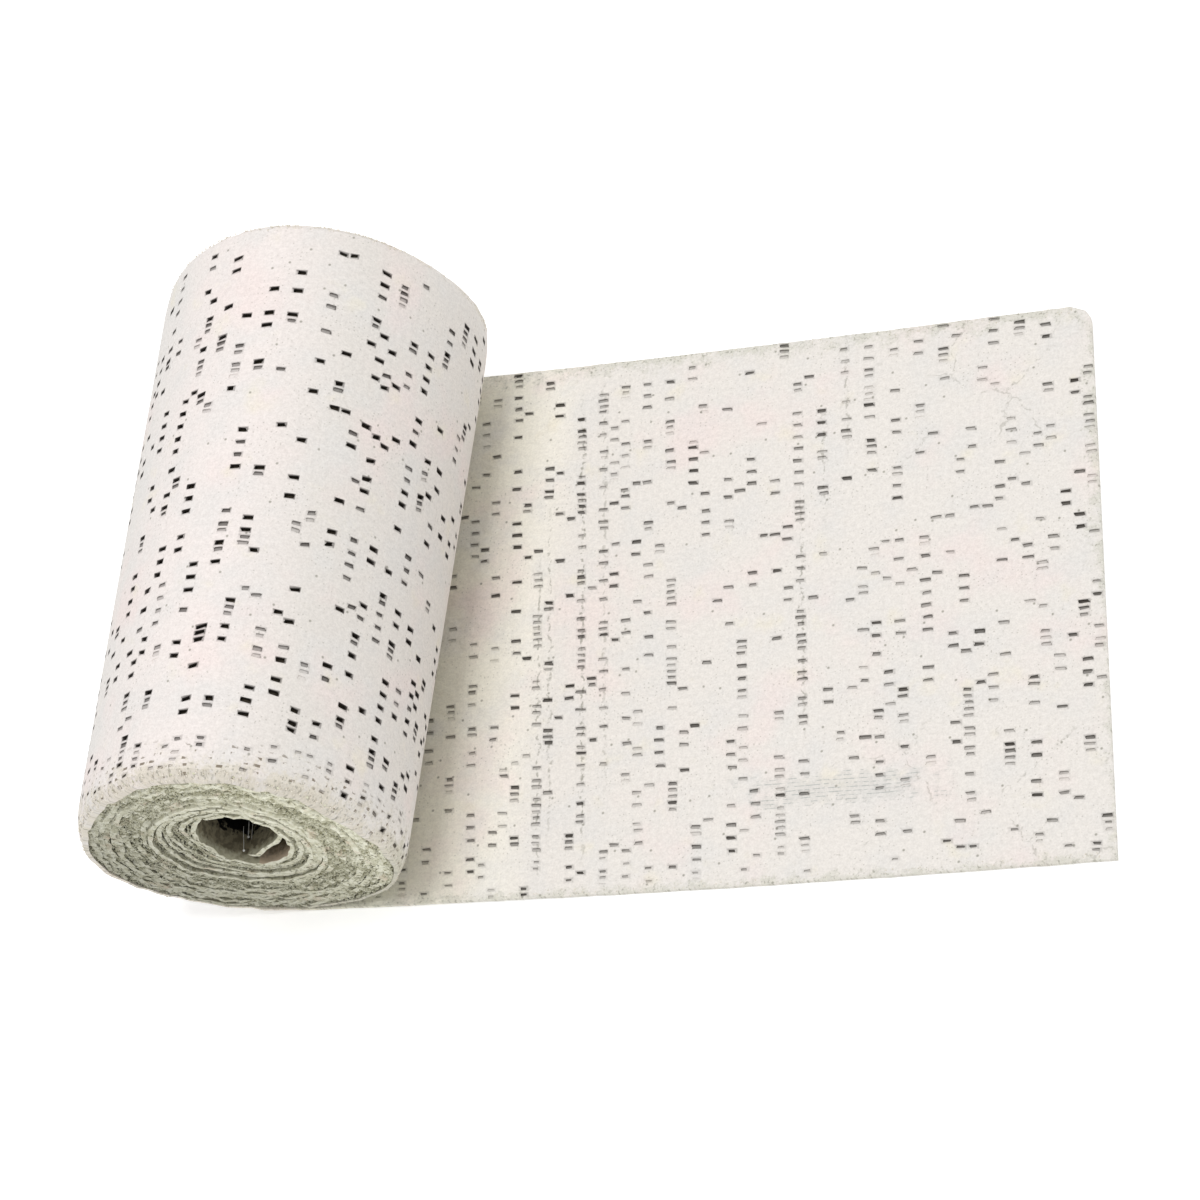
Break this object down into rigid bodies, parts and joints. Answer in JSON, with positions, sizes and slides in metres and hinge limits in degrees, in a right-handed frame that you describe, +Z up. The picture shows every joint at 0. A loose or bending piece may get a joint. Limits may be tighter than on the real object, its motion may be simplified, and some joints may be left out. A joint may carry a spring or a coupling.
{
  "type": "plaster bandage roll",
  "caption": "Strip of plaster-coated open-weave gauze wound into a roll that lies on its side, with an open core and its loose end laid out flat.",
  "frame": {"origin": "under the middle of the whole, on the surface it rests on", "axes": "+Z up; +Y along the roll's axis; +X from the roll towards the free end of the loose end"},
  "size_m": [0.1666, 0.1022, 0.0551],
  "materials": {
    "plaster_gauze_wound": "matt plaster-coated gauze, rough layered edges at the two ends",
    "plaster_gauze_flat": "matt plaster-coated gauze with open weave cells"
  },
  "bodies": {
    "root": {"wound_roll": "plaster_gauze_wound", "loose_end": "plaster_gauze_flat"}
  },
  "joints": []
}
